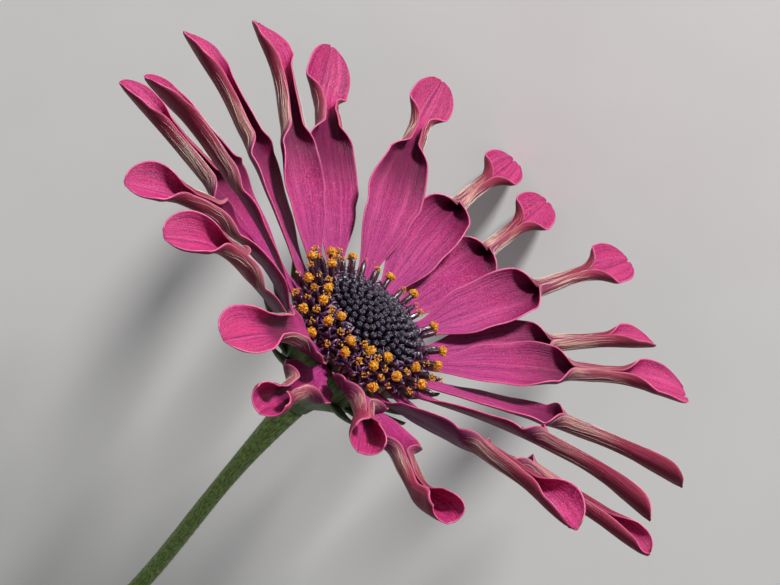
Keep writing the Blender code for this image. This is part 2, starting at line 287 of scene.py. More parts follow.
def petalRimLook():
    look = Look("petalRim", 0.45, Subsurface_Weight=0.2, Subsurface_Scale=0.0006)
    look.shader.inputs["Subsurface Radius"].default_value = (1.0, 0.3, 0.45)
    tags = look.readTag("blade")
    spots = look.stretched(tags, 1.0, 24.0, 11.0, 3.0, 3)
    # the edge faces are painted as a pale highlight line, speckled along the petal
    return look.colour(look.mixed(look.between(spots, 0.35, 0.65), petalPaint["light"], petalPaint["rim"]))


# In degrees, lift, arch, pitch and tip bend the petal from root to tip, sweep turns it aside, tilt rolls
# its blade and twist its spoon, and cup, roll and bowl curl blade, neck and spoon across. Wide, neck and
# spoon are their flat widths, root is how high it starts and wave how far its margin swings. Shoulder,
# pinch and flare are where it is widest, closes and opens. Point and notch shape the tip, skew curls one
# margin further, cream is how much the neck shows its silvery cream and the painted highlight on its
# shoulders, and fibres counts the threads on it.
petalCommon = dict(lift=28, arch=-12, pitch=-13, sweep=0, length=28.0, tip=0, twist=0, tilt=0, neck=4.9,
                   spoon=5.4, roll=196, bowl=45, pinch=.56, flare=.80, skew=.06, wave=.07, shoulder=.74,
                   point=.93, notch=.009, fibres=18, cream=1)
petalUpper = dict(petalCommon, root=.55, wide=6.2, cup=49)
petalLower = dict(petalCommon, root=-.05, wide=5.8, cup=33)
petalMake = {"thickness": 0.24, "margin": 0.45, "rootReach": 5.6, "curlPower": 1.3, "tipStart": 0.885,
             "rows": 132, "columns": 41, "spineSteps": 200, "edgeSteps": 60, "veinDepth": 0.016,
             "foldHeight": 0.05, "grooveDepth": 0.10, "padHeight": 0.06, "unevenness": 0.05,
             "fibreWidth": 0.027, "seed": 21}
petalVeins = (-.78, -.60, -.42, -.24, 0, .22, .44, .62, .80)  # from one margin to the other

# going round the bloom: start in degrees, layer, then what differs from the common shape
petalRows = (
    (198.5, petalUpper, dict(lift=35.5, arch=-11, pitch=-7, length=28.0, root=.6, tilt=20, twist=28, cup=43,
                             spoon=5.0, pinch=.61, bowl=70, roll=172, skew=-.04, cream=.4, fibres=20)),
    (184.5, petalLower, dict(lift=16, arch=-5, pitch=0, sweep=1, length=26.4, twist=15, root=.2, spoon=4.8,
                             cup=29, bowl=70, roll=185, skew=-.06, cream=.35, fibres=60)),
    (166, petalLower, dict(lift=25.5, arch=-13, pitch=-12, sweep=-6, length=27.6, tilt=22, twist=20,
                           spoon=5.3, pinch=.575, bowl=60, tip=4, point=.985, roll=160, skew=-.04,
                           cream=.85, fibres=26)),
    (155, petalUpper, dict(lift=29, arch=-15, pitch=-20, sweep=-18, length=28.1, root=.45, tilt=1, twist=14,
                           spoon=5.6, shoulder=.64, bowl=52, tip=6, point=.985, wide=5.6, roll=165,
                           skew=-.04, cream=.8, fibres=26)),
    (133, petalLower, dict(lift=21, arch=-23, pitch=-20, sweep=-13, length=30.0, tip=50, twist=12,
                           spoon=6.0, pinch=.62, flare=.77, shoulder=.62, bowl=35, roll=166, neck=5.6,
                           skew=-.1, cream=.35, fibres=16, notch=.005)),
    (115, petalUpper, dict(lift=31, arch=-22.5, pitch=-22, sweep=-11.5, length=27.9, tip=45, tilt=-1,
                           root=.7, spoon=5.0, pinch=.64, flare=.79, shoulder=.6, bowl=42, roll=188,
                           skew=-.08, cream=.3, fibres=30, notch=.005)),
    (96, petalUpper, dict(lift=25.5, arch=-20, pitch=-28, sweep=-11, length=29.8, tip=30, tilt=-9, root=.28,
                          cup=48, spoon=4.9, flare=.795, shoulder=.8, pinch=.545, neck=4.2, roll=248,
                          skew=.12, fibres=34)),
    (80, petalLower, dict(lift=21, arch=-17, pitch=-20, sweep=5, length=29.5, tip=30, tilt=-4, spoon=5.0,
                          flare=.795, shoulder=.8, pinch=.54, neck=4.2, roll=248, skew=.12, fibres=34)),
    (61.5, petalUpper, dict(lift=29, arch=-16, pitch=-24, sweep=7.5, length=29.2, tip=20, pinch=.54,
                            spoon=5.3, flare=.78, shoulder=.8, neck=4.2, roll=248, skew=.12, fibres=40)),
    (46.5, petalLower, dict(lift=24, arch=-10.5, pitch=-5, sweep=5.5, root=-.13, length=27.7, tilt=-.5,
                            twist=-22, spoon=4.6, bowl=80, neck=4.3, roll=225, skew=.12, point=.97,
                            fibres=36)),
    (31, petalUpper, dict(lift=30.5, arch=-13, pitch=-15, sweep=8.5, length=28.2, tilt=-1, twist=-8,
                          spoon=5.8, flare=.745, bowl=60, neck=4.5, roll=210, skew=.1, point=.92, cream=.8,
                          fibres=24)),
    (15, petalLower, dict(lift=24, arch=-7.5, pitch=-10, sweep=-1, length=27.8, root=.5, tilt=-24, cup=22,
                          twist=-34, bowl=145, spoon=5.2, roll=235, skew=.1, point=.99, notch=0, cream=.7,
                          fibres=26)),
    (-1.5, petalUpper, dict(lift=31.5, arch=-10, pitch=-14.5, sweep=-3, length=26.8, root=.1, tilt=-33,
                            twist=-34, cup=24, wide=5.8, spoon=5.2, bowl=145, roll=235, skew=.1, point=.99,
                            notch=0, cream=.6, fibres=26)),
    (-17, petalLower, dict(lift=27.6, arch=-8, pitch=-8, sweep=13, length=29.1, root=.05, tilt=-28, cup=24,
                           twist=5, spoon=4.9, bowl=112, flare=.84, roll=215, skew=.1, point=.98,
                           notch=.003, wave=.16, cream=.7, fibres=30)),
    (-37.5, petalUpper, dict(lift=37.5, arch=-8, pitch=-13, sweep=12, length=27.7, root=-.05, tilt=-32,
                             twist=10, cup=26, wide=5.8, spoon=5.6, bowl=88, roll=205, skew=.1, point=.97,
                             notch=.003, wave=.3, cream=.45, fibres=18)),
    (-59, petalLower, dict(lift=29, arch=-12, pitch=5, sweep=5.5, length=26.5, tip=14, tilt=3, twist=15,
                           spoon=7.0, bowl=138, point=.66, roll=205, skew=.08, notch=0, cream=.6)),
    (-75, petalUpper, dict(lift=33, arch=-6, pitch=-9, sweep=-3.5, length=25.5, tip=1, spoon=7.5, bowl=156,
                           flare=.79, point=.6, roll=205, skew=.08, notch=0, cream=.6)),
    (-91.5, petalLower, dict(lift=27, arch=-7, pitch=2, sweep=-3, length=28.8, twist=10, spoon=7.2,
                             bowl=160, flare=.76, tip=3, point=.6, notch=0, roll=195, skew=.08, cream=.8)),
    (-104, petalUpper, dict(lift=35.5, arch=-11.5, pitch=-16, sweep=-4, length=26.3, root=1.0, tip=0,
                            tilt=-10, spoon=5.8, bowl=50, flare=.77, point=.88, notch=.004, roll=140,
                            neck=5.2, skew=-.05, cream=.5)),
    (-125, petalLower, dict(lift=35.5, arch=-3, pitch=-18, sweep=-2, length=27.9, tip=-15, tilt=18, cup=30,
                            spoon=5.8, bowl=66, pinch=.65, flare=.8, notch=.004, skew=-.06, cream=.75)),
    (-142.5, petalUpper, dict(lift=40, arch=-19, pitch=-18, sweep=6, length=28.0, root=.1, tip=-5, tilt=22,
                              spoon=5.6, bowl=62, pinch=.67, flare=.82, notch=.004, skew=-.06, cream=.5)),
)


def petalSpine(p):
    # the middle line and its frame at even steps
    steps = petalMake["spineSteps"]
    f = np.linspace(0, 1, steps + 1)
    rise = np.radians(p["lift"] - 15 * (1 - ease(f / .2)) + p["arch"] * ease((f - .12) / .45)
                      + p["pitch"] * ease((f - .60) / .30) + p["tip"] * ease((f - p["flare"] + .04) / .16))
    turn = np.radians(p["sweep"] * ease((f - .15) / .6))
    roll = np.radians(p["tilt"] * (ease(f / .2) - ease((f - .42) / .25))
                      + p["twist"] * ease((f - p["pinch"] + .1) / .35))
    along = np.stack([np.cos(rise) * np.cos(turn), np.cos(rise) * np.sin(turn), np.sin(rise)], 1)
    side = np.stack([-np.sin(turn), np.cos(turn), 0 * turn], 1)
    up = np.cross(along, side)
    path = np.zeros((steps + 1, 3))
    path[1:] = np.cumsum((along[1:] + along[:-1]) / 2, 0) * p["length"] / steps
    path += (petalMake["rootReach"], 0, p["root"])
    across = np.cos(roll)[:, None] * side + np.sin(roll)[:, None] * up
    out = np.cos(roll)[:, None] * up - np.sin(roll)[:, None] * side
    return f, path, across, out


def halfSection(curl):
    # how wide and how high half of each row's section has grown, from the middle to the margin
    steps = petalMake["edgeSteps"]
    slope = curl[:, None] * np.linspace(0, 1, steps + 1)[None] ** petalMake["curlPower"]
    start = np.zeros((len(curl), 1))
    flat = np.cumsum((np.cos(slope[:, 1:]) + np.cos(slope[:, :-1])) / 2, 1)
    high = np.cumsum((np.sin(slope[:, 1:]) + np.sin(slope[:, :-1])) / 2, 1)
    return np.concatenate([start, flat], 1) / steps, np.concatenate([start, high], 1) / steps


def petalRelief(p, u, v, rolled, rng):
    # fine veins, broad folds, a groove down the spoon and a waved margin
    m = petalMake
    veins = sum(bump(v, at + rng.uniform(-.03, .03), .028) * rng.uniform(.3, 1.2) for at in petalVeins)
    blade = (ease(u / .1) * (1 - ease((u - p["pinch"] + .16) / .12)))[:, None]
    spoon = ease((u - p["flare"]) / .08)[:, None]
    phase = rng.uniform(0, 6.28, 8)
    veinShare = (1 + .5 * np.sin(u * 23 + phase[6])) * (1 - .7 * ease((u - p["flare"]) / .1))
    folds = bump(v, .30, .17) + bump(v, -.33, .17) - .8 * bump(v, 0, .10)
    pads = bump(v, .5, .22) + bump(v, -.5, .22)
    relief = -m["veinDepth"] * veins[None] * veinShare[:, None] + m["foldHeight"] * folds[None] * blade
    relief = relief + (m["padHeight"] * pads - m["grooveDepth"] * bump(v, 0, .075))[None] * spoon
    free = (ease((u - .16) / .2) * (1 - .8 * rolled))[:, None]
    for hand in (-1, 1):
        margin = np.clip(hand * v, 0, 1)[None] ** 3
        swing = np.sin(u * 13 + phase[hand + 1]) + .4 * np.sin(u * 29 + phase[hand + 2])
        relief = relief + p["wave"] * margin * free * swing[:, None]
    uneven = np.sin(u * 9 + phase[4])[:, None] * np.sin(2.6 * v + phase[5])[None]
    return relief + m["unevenness"] * free * uneven


def petalSurface(p, rng):
    # u runs along the petal and v across it; both sheets and all the detail come from this surface
    m = petalMake
    u = np.linspace(0, 1, m["rows"])
    v = np.linspace(-1, 1, m["columns"])
    pinch, flare = p["pinch"], p["flare"]
    f, path, across, out = petalSpine(p)
    width = keyed(u, [(0, 1.0), (.09, 1.8), (pinch * .5, p["wide"] * .84), (pinch * p["shoulder"], p["wide"]),
                      (pinch + .05, p["neck"]), (flare - .06, p["neck"] * .92),
                      (.5 * (flare + 1) - .01, p["spoon"]), (1, p["spoon"] * .9)])
    tipShare = np.clip((u - m["tipStart"]) / (1 - m["tipStart"]), 0, 1)
    width = width * np.sqrt(1 - (p["point"] * tipShare) ** 2.2)
    curl = np.radians(keyed(u, [
        (0, 10), (.12, p["cup"] * .6), (pinch * .62, p["cup"] * .8), (pinch * .86, p["cup"] * 1.5),
        (pinch, p["roll"] * .95), (pinch + .5 * (flare - pinch), p["roll"]),
        (flare - .03, p["roll"] * .92), (flare + .09, p["bowl"] * 1.2), (1, p["bowl"] * .75)]))
    rolled = ease((u - pinch + .12) / .12) * (1 - ease((u - flare + .02) / .1))
    # the tip is rounded, with one small notch in the middle
    cut = .010 * v ** 2 + p["notch"] * bump(v, 0, .12)
    s = u[:, None] - (tipShare ** 2)[:, None] * cut[None]
    halves = [halfSection(curl * (1 + hand * p["skew"] * rolled)) for hand in (-1, 1)]
    points = np.zeros((m["rows"], m["columns"], 3))
    for j, place in enumerate(v):
        flat, high = halves[0] if place < 0 else halves[1]
        at = abs(place) * m["edgeSteps"]
        i = min(int(at), m["edgeSteps"] - 1)
        share = at - i
        x = (flat[:, i] * (1 - share) + flat[:, i + 1] * share) * math.copysign(1, place) * width / 2
        z = (high[:, i] * (1 - share) + high[:, i + 1] * share) * width / 2
        spine, sideways, outward = [np.stack([np.interp(s[:, j], f, part[:, c]) for c in range(3)], 1)
                                    for part in (path, across, out)]
        points[:, j] = spine + x[:, None] * sideways + z[:, None] * outward
    normal = np.cross(np.gradient(points, axis=0), np.gradient(points, axis=1))
    normal /= np.linalg.norm(normal, axis=2, keepdims=True) + 1e-12
    relief = petalRelief(p, u, v, rolled, rng)
    return points + normal * relief[..., None], normal, u, v


def sampled(grid, a, b):
    # a value of the grid between its points, at row a and column b
    i = np.clip(np.floor(a).astype(int), 0, grid.shape[0] - 2)
    j = np.clip(np.floor(b).astype(int), 0, grid.shape[1] - 2)
    s, t = (a - i)[:, None], (b - j)[:, None]
    return ((grid[i, j] * (1 - s) + grid[i + 1, j] * s) * (1 - t)
            + (grid[i, j + 1] * (1 - s) + grid[i + 1, j + 1] * s) * t)


thirds = (0, 2.094, 4.189)  # the three directions of a thread's or a hair's sides


def strand(line, width):
    # a thin three-sided thread along a line, closed at both ends
    along = np.gradient(line, axis=0)
    along /= np.linalg.norm(along, axis=1, keepdims=True) + 1e-12
    side = np.cross(along, (.31, .62, .72))
    side /= np.linalg.norm(side, axis=1, keepdims=True) + 1e-12
    other = np.cross(along, side)
    count = len(line)
    taper = np.sin(np.linspace(.25, math.pi - .15, count))[:, None] * width / 2
    ring = [line + (math.cos(a) * side + math.sin(a) * other) * taper for a in thirds]
    points = np.stack(ring, 1).reshape(-1, 3)
    faces = [f[::-1] for f in gridFaces(count, 3, wrap=True)]
    faces += [(0, 1, 2), (count * 3 - 1, count * 3 - 2, count * 3 - 3)]
    return points, faces


def addFibres(heap, spin, p, points, normal, rng):
    # silvery fibres that stand a little off the back of the rolled neck
    m = petalMake
    for _ in range(p["fibres"]):
        first = p["pinch"] + rng.uniform(-.07, .04)
        last = first + rng.uniform(.08, .24)
        at = np.linspace(first, min(last, p["flare"] + .02), 16)
        v = rng.choice((-1, 1)) * rng.uniform(.22, .93)
        v = v + .03 * np.sin(at * rng.uniform(20, 40) + rng.uniform(0, 6))
        a, b = at * (m["rows"] - 1), (np.clip(v, -.97, .97) + 1) / 2 * (m["columns"] - 1)
        line = sampled(points, a, b) - sampled(normal, a, b) * (m["thickness"] / 2 + rng.uniform(.0, .05))
        shape, faces = strand(line, m["fibreWidth"] * rng.uniform(.6, 1.4))
        heap.add(shape, faces, spin)


def makePetal(number, azimuth, layer, changes, looks, fibres):
    p = dict(layer, **changes)
    m = petalMake
    rng = np.random.default_rng(m["seed"] + number)
    points, normal, u, v = petalSurface(p, rng)
    spin = Matrix.Rotation(math.radians(azimuth), 4, "Z")
    faces = [f[::-1] for f in gridFaces(m["rows"], m["columns"])]
    piece = meshFrom(f"petal{number:02d}", points.reshape(-1, 3) * mm, faces, bloom @ spin)
    seed = rng.uniform(0, 1)
    tag(piece, "blade", [(b, a, seed) for a in u for b in v])
    tag(piece, "cream", [(p["cream"], 0, 0)] * (len(u) * len(v)))
    # thinner towards the margins and the tip
    group = piece.vertex_groups.new(name="thick")
    for r, a in enumerate(u):
        for c, b in enumerate(v):
            thin = float(ease((abs(b) - .80) / .2)) + float(ease((a - .965) / .035))
            group.add([r * m["columns"] + c], 1 - min(thin, 1), "REPLACE")
    skin = piece.modifiers.new("thickness", "SOLIDIFY")
    skin.thickness = m["thickness"] * mm
    skin.offset = 0
    skin.vertex_group = "thick"
    skin.thickness_vertex_group = m["margin"]
    skin.material_offset = 1
    skin.material_offset_rim = 2
    addFibres(fibres, spin, p, points, normal, rng)
    finishPiece(piece, [f"petal_{number:02d}"], looks)
    return spin, points, normal


def makePetals():
    looks = [petalInsideLook(), petalBackLook(), petalRimLook()]
    fibres = Heap()
    sheets = [makePetal(number, *row, looks, fibres) for number, row in enumerate(petalRows, 1)]
    look = Look("fibre", 0.35)
    finishPiece(fibres.make("neckFibres", bloom), [], [look.colour(petalPaint["fibre"])])
    return sheets


petalSheets = makePetals()
print("petals:", len(petalSheets))


discMake = {"radius": 5.7, "base": -0.30, "rise": 3.1, "florets": 214, "openFrom": 132, "openLean": 42,
            "openSide": -100, "rimTilt": 58, "budStand": 1.35, "openStand": 2.5, "sunk": 0.8,
            "lobeLength": 1.35, "lobeWidth": 0.34, "lobeCurl": 150, "headSize": 0.43, "grainSize": 0.068,
            "grains": 120, "crumbs": 260, "strayCrumbs": 46, "seed": 21}
pollenShares = (1, .12, .3, 0, .9, .05, .2, 0, 1, .1, .25)  # how full the heads are, one after another
discPaint = {"core": (0.012, 0.005, 0.012), "bud": (0.016, 0.009, 0.023), "budGlint": (0.115, 0.100, 0.175),
             "column": (0.030, 0.006, 0.014), "lobe": (0.150, 0.045, 0.150),
             "lobeEdge": (0.420, 0.240, 0.400), "pollen": (0.900, 0.480, 0.020),
             "pollenDark": (0.500, 0.130, 0.004)}


def turnedForm(profile, sides, ridges=0, depth=0.0):
    # a turned form of (radius, height) pairs whose sides may be ridged; closed at both ends
    points, faces = [], []
    for r, z in profile:
        for k in range(sides):
            a = 2 * math.pi * k / sides
            q = r * (1 + depth * math.cos(ridges * a))
            points.append((q * math.cos(a), q * math.sin(a), z))
    faces += gridFaces(len(profile), sides, wrap=True)
    last = (len(profile) - 1) * sides
    faces.append(tuple(range(sides))[::-1])
    faces.append(tuple(last + k for k in range(sides)))
    return np.array(points), faces


def ballForm(subdivisions):
    made = bmesh.new()
    bmesh.ops.create_icosphere(made, subdivisions=subdivisions, radius=1)
    points = np.array([q.co for q in made.verts])
    faces = [tuple(q.index for q in f.verts) for f in made.faces]
    made.free()
    return points, faces


def lobeForm(length, width, curlDegrees, steps=8):
    # a narrow petal lobe that curls back on itself
    points, faces = [], []
    x = z = 0.0
    for k in range(steps + 1):
        t = k / steps
        half = width / 2 * (1 - .8 * t ** 2.2)
        a = math.radians(90 - curlDegrees * t)
        points += [(x, -half, z), (x - .06, 0, z + .02), (x, half, z), (x + .04, 0, z - .06)]
        x += math.cos(a) * length / steps
        z += math.sin(a) * length / steps
    for k in range(steps):
        for j in range(4):
            a, b = k * 4 + j, k * 4 + (j + 1) % 4
            faces.append((a, b, b + 4, a + 4))
    faces.append((3, 2, 1, 0))
    faces.append(tuple(steps * 4 + j for j in range(4)))
    return np.array(points), faces


def aimed(origin, way, spin=0.0):
    turn = way.to_track_quat("Z", "Y").to_matrix().to_4x4()
    return Matrix.Translation(origin) @ turn @ Matrix.Rotation(spin, 4, "Z")


def discLook():
    # the tag holds what it is (core 0, bud 1, column 2, lobe 3), how high up, and the floret's own seed
    look = Look("floretSkin", 0.24, Coat_Weight=0.35, Coat_Roughness=0.15)
    tags = look.readTag("kind")
    kind, height = tags[0], tags[1]
    spots = look.noise(look.place(), 5200.0, 4)
    # painted glint: the tops of the buds and their beads turn a lighter bluish grey
    bud = look.mixed(look.between(height, 0.72, 1.0, 0.0, 0.8), discPaint["bud"], discPaint["budGlint"])
    bud = look.mixed(look.between(spots, 0.45, 0.7, 0.0, 0.5), bud, discPaint["core"])
    lobe = look.mixed(look.between(height, 0.55, 1.0), discPaint["lobe"], discPaint["lobeEdge"])
    lobe = look.mixed(look.between(spots, 0.4, 0.7, 0.0, 0.7), lobe, discPaint["bud"])
    base = look.mixed(look.between(kind, 0.4, 0.6), discPaint["core"], bud)
    base = look.mixed(look.between(kind, 1.4, 1.6), base, discPaint["column"])
    base = look.mixed(look.between(kind, 2.4, 2.6), base, lobe)
    look.relief(spots, 0.5, 0.00012)
    return look.colour(base)


def pollenLook():
    look = Look("pollen", 0.60, Subsurface_Weight=0.15, Subsurface_Scale=0.0003)
    spots = look.noise(look.place(), 6500.0, 3)
    base = look.mixed(look.between(spots, 0.38, 0.62), discPaint["pollenDark"], discPaint["pollen"])
    look.relief(spots, 0.8, 0.0001)
    return look.colour(base)


def addBud(florets, start, full, seed, rng, ball, speck):
    # a closed floret: five glossy lobes meet over it, each with a few beads painted light as glints
    form = [(.16, 0), (.20, full * .45), (.28, full * .72), (.33, full * .86), (.28, full * .95),
            (.05, full * .97)]
    points, faces = turnedForm(form, 15, 5, .14)
    shade = np.stack([points[:, 0] * 0 + 1, points[:, 2] / full * .8, points[:, 0] * 0 + seed], 1)
    florets.add(points, faces, start, shade)
    for k in range(5):
        a = 2 * math.pi * k / 5 + rng.uniform(-.15, .15)
        at = start @ Vector((.175 * math.cos(a), .175 * math.sin(a), full * .95 + rng.uniform(-.03, .05)))
        florets.add(ball[0] * .125, ball[1], Matrix.Translation(at), (1, .62, seed))
        for _ in range(3):
            bead = Vector((rng.normal(), rng.normal(), abs(rng.normal()) + .6)).normalized() * .13
            place = Matrix.Translation(at + start.to_3x3() @ bead)
            florets.add(speck[0] * rng.uniform(.030, .060), speck[1], place, (1, 1.0, seed))


def addOpen(florets, start, full, seed, rng, lobe):
    # an open floret: a dark column out of five curled lobes
    form = [(.16, 0), (.20, full * .4), (.25, full * .50), (.28, full * .72), (.25, full * .90), (.08, full)]
    points, faces = turnedForm(form, 15, 5, .10)
    shade = np.stack([points[:, 0] * 0 + 2, points[:, 2] / full, points[:, 0] * 0 + seed], 1)
    florets.add(points, faces, start, shade)
    for k in range(5):
        a = 2 * math.pi * k / 5 + rng.uniform(-.15, .15)
        seat = start @ Matrix.Translation((0, 0, full * rng.uniform(.44, .56))) @ Matrix.Rotation(a, 4, "Z")
        same = lobe[0][:, 0] * 0
        shade = np.stack([same + 3, np.linspace(0, 1, len(same)), same + seed], 1)
        florets.add(lobe[0] * rng.uniform(.85, 1.15), lobe[1], seat @ Matrix.Translation((.18, 0, 0)), shade)


def addHead(heads, seat, pollen, rng, ball, speck):
    # grains in a lumpy ball that is flatter on top; a spent floret keeps only a few
    d = discMake
    lumps = rng.uniform(0, 6.28, 3)
    for _ in range(int(d["grains"] * pollen)):
        zed = 1 - 1.75 * rng.uniform(0, 1)
        around = rng.uniform(0, 2 * math.pi)
        ring = math.sqrt(max(0, 1 - zed * zed))
        lump = 1 + .16 * math.sin(2 * around + lumps[0]) * math.sin(3 * zed + lumps[1])
        size = d["headSize"] * lump * rng.uniform(.80, 1.10) * (.62 + .38 * min(pollen * 1.6, 1))
        local = Vector((ring * math.cos(around) * size, ring * math.sin(around) * size, zed * size * .85))
        grain = Matrix.Scale(d["grainSize"] * rng.uniform(.65, 1.35), 4)
        heads.add(speck[0], speck[1], Matrix.Translation(seat @ local) @ grain)
    if pollen > .5:
        # the full heads have a solid middle under their grains
        heads.add(ball[0] * d["headSize"] * .84, ball[1], seat)


def addCrumbs(heads, sheets, rng, speck):
    # grains of pollen round the foot of the disc, and a few fallen on the petals
    d = discMake
    for _ in range(d["crumbs"]):
        a, r = rng.uniform(0, 2 * math.pi), rng.uniform(.93, 1.17) * d["radius"]
        place = Matrix.Translation((r * math.cos(a), r * math.sin(a), rng.uniform(.9, 2.0)))
        heads.add(speck[0] * rng.uniform(.05, .13), speck[1], place)
    for _ in range(d["strayCrumbs"]):
        spin, points, normal = sheets[int(rng.integers(0, len(sheets)))]
        a = np.array([rng.uniform(.10, .42) * (points.shape[0] - 1)])
        b = np.array([rng.uniform(.25, .75) * (points.shape[1] - 1)])
        at = sampled(points, a, b)[0] + sampled(normal, a, b)[0] * .16
        heads.add(speck[0] * rng.uniform(.035, .085), speck[1], spin @ Matrix.Translation(at))


def makeDisc(sheets):
    d = discMake
    rng = np.random.default_rng(d["seed"])
    florets, heads = Heap(), Heap()
    wide, high, low = d["radius"], d["rise"], d["base"]
    dome = [(.02, high - .35), (wide * .40, high * .93 - .35), (wide * .72, high * .68 - .3),
            (wide * .93, high * .34 - .15), (wide, low + .35), (wide * .93, low), (.02, low)]
    points, faces = turnedForm(dome[::-1], 48)
    florets.add(points, faces, Matrix.Identity(4), (0, 0, 0))
    ball, speck = ballForm(2), ballForm(1)
    lobe = lobeForm(d["lobeLength"], d["lobeWidth"], d["lobeCurl"])
    golden = math.pi * (3 - math.sqrt(5))
    for i in range(d["florets"]):
        share = math.sqrt((i + .5) / d["florets"])
        angle = i * golden
        # the florets open from the rim inwards, and further in on the lower side
        opened = i >= d["openFrom"] - d["openLean"] * math.cos(angle - math.radians(d["openSide"]))
        radius = wide * share * .97
        height = high * math.sqrt(max(0, 1 - (share * .97) ** 2)) * .97
        tip = math.radians((d["rimTilt"] + 6 * math.sin(angle)) * share ** 1.7 + rng.uniform(-4, 4))
        stand = d["budStand"] + .25 * share
        if opened:
            stand = d["openStand"] + 1.1 * (share - .8) / .2 + rng.uniform(-.5, .4)
        way = Vector((math.sin(tip) * math.cos(angle), math.sin(tip) * math.sin(angle), math.cos(tip)))
        foot = Vector((radius * math.cos(angle), radius * math.sin(angle), max(height, .60)))
        start = aimed(foot - way * d["sunk"], way, rng.uniform(0, 6))
        seed = rng.uniform(0, 1)
        full = stand + d["sunk"]
        if opened:
            addOpen(florets, start, full, seed, rng, lobe)
            pollen = pollenShares[i % len(pollenShares)]
            if pollen:
                addHead(heads, aimed(foot + way * stand, way), pollen, rng, ball, speck)
        else:
            addBud(florets, start, full, seed, rng, ball, speck)
    addCrumbs(heads, sheets, rng, speck)
    finishPiece(florets.make("discFlorets", bloom), ["disc"], [discLook()])
    finishPiece(heads.make("pollenHeads", bloom), [], [pollenLook()])


makeDisc(petalSheets)
print("disc with florets and pollen heads")


cupMake = {"radius": 5.9, "top": -0.65, "depth": 8.6, "neck": 1.45, "bracts": 18, "bractLength": 6.4,
           "bractWidth": 1.4, "bractRise": 32, "bractRows": 22, "bractColumns": 7, "thickness": 0.35}
greenPaint = {"light": (0.130, 0.190, 0.045), "dark": (0.030, 0.060, 0.010), "tip": (0.120, 0.040, 0.045),
              "stemLight": (0.240, 0.370, 0.060), "stemDark": (0.065, 0.115, 0.015),
              "hair": (0.540, 0.620, 0.350)}


def greenLook(name, light, dark, tip=None):
    look = Look(name, 0.6, Sheen_Weight=0.15)
    tags = look.readTag("blade")
    streak = look.stretched(tags, 6.0, 2.0, 1.0, 2.4, 5)
    spots = look.noise(look.place(), 1500.0, 4)
    base = look.mixed(look.between(streak, 0.35, 0.68), dark, light)
    base = look.mixed(look.between(spots, 0.45, 0.75, 0.0, 0.5), base, dark)
    if tip:
        base = look.mixed(look.between(tags[1], 0.80, 1.0, 0.0, 0.8), base, tip)
    look.relief(look.sums("ADD", streak, spots), 0.6, 0.0002)
    return look.colour(base)


def bractForm(index):
    # both faces of one narrow bract with a rim between them
    c = cupMake
    rows, columns = c["bractRows"], c["bractColumns"]
    rise = math.radians(c["bractRise"] + 3 * math.sin(index * 2.4))
    length = c["bractLength"] * (1 + .10 * math.sin(index * 1.7))
    sheet, values = [], []
    for t in np.linspace(0, 1, rows):
        half = max(c["bractWidth"] * (.50 + 1.7 * t - 2.1 * t * t), .16) / 2
        bow = math.sin(math.pi * t) * .06 * length
        for s in np.linspace(-1, 1, columns):
            x = c["radius"] * .66 + math.cos(rise) * t * length + math.sin(rise) * bow
            z = c["top"] - 3.3 + math.sin(rise) * t * length - math.cos(rise) * bow
            sheet.append((x, s * half, z + .22 * half * s * s))
            values.append((s, t, index))
    sheet = np.array(sheet)
    count = rows * columns
    both = np.concatenate([sheet + (0, 0, c["thickness"] / 2), sheet - (0, 0, c["thickness"] / 2)])
    faces = gridFaces(rows, columns)
    other = [tuple(i + count for i in f[::-1]) for f in faces]
    last = (rows - 1) * columns
    rim = list(range(columns)) + [r * columns + columns - 1 for r in range(1, rows)]
    rim += [last + k for k in range(columns - 2, -1, -1)] + [r * columns for r in range(rows - 2, 0, -1)]
    sides = [(rim[k], rim[k - 1], rim[k - 1] + count, rim[k] + count) for k in range(len(rim))]
    return both, faces + other + sides, np.array(values + values)


def makeInvolucre():
    c = cupMake
    wide, top, neck = c["radius"], c["top"], c["neck"]
    low = top - c["depth"]
    profile = [(.02, top), (wide * .93, top), (wide, top - .4), (wide * .94, top - 2.2),
               (wide * .76, top - 4.2), (wide * .50, top - 5.9), (neck * 1.25, top - 7.3), (neck, low),
               (.02, low)]
    steps = np.linspace(0, len(profile) - 1, 33)
    fine = list(zip(*[np.interp(steps, range(len(profile)), [q[k] for q in profile]) for k in (0, 1)]))
    heap = Heap()
    points, faces = turnedForm(fine[::-1], 60, 20, .03)
    angles = np.arctan2(points[:, 1], points[:, 0])
    heap.add(points, faces, Matrix.Identity(4), np.stack([angles * 2, points[:, 2] * -.05, angles * 0], 1))
    for index in range(c["bracts"]):
        spin = Matrix.Rotation(2 * math.pi * index / c["bracts"] + .05 * math.sin(index * 3.1), 4, "Z")
        points, faces, values = bractForm(index)
        heap.add(points, faces, spin, values)
    look = greenLook("bractSkin", greenPaint["light"], greenPaint["dark"], greenPaint["tip"])
    finishPiece(heap.make("cupAndBracts", bloom, "blade"), ["involucre"], [look])


makeInvolucre()
print("cup and bracts")


stemMake = {"radius": 0.80, "topRadius": 1.30, "gap": 0.35, "length": 80.0, "reachBack": 0.955,
            "endSide": 8.0, "sway": 1.0, "topPull": 0.38, "endPull": 0.36, "rings": 150, "sides": 28,
            "hairs": 7600, "hairLength": 0.17, "hairWidth": 0.030, "seed": 5}


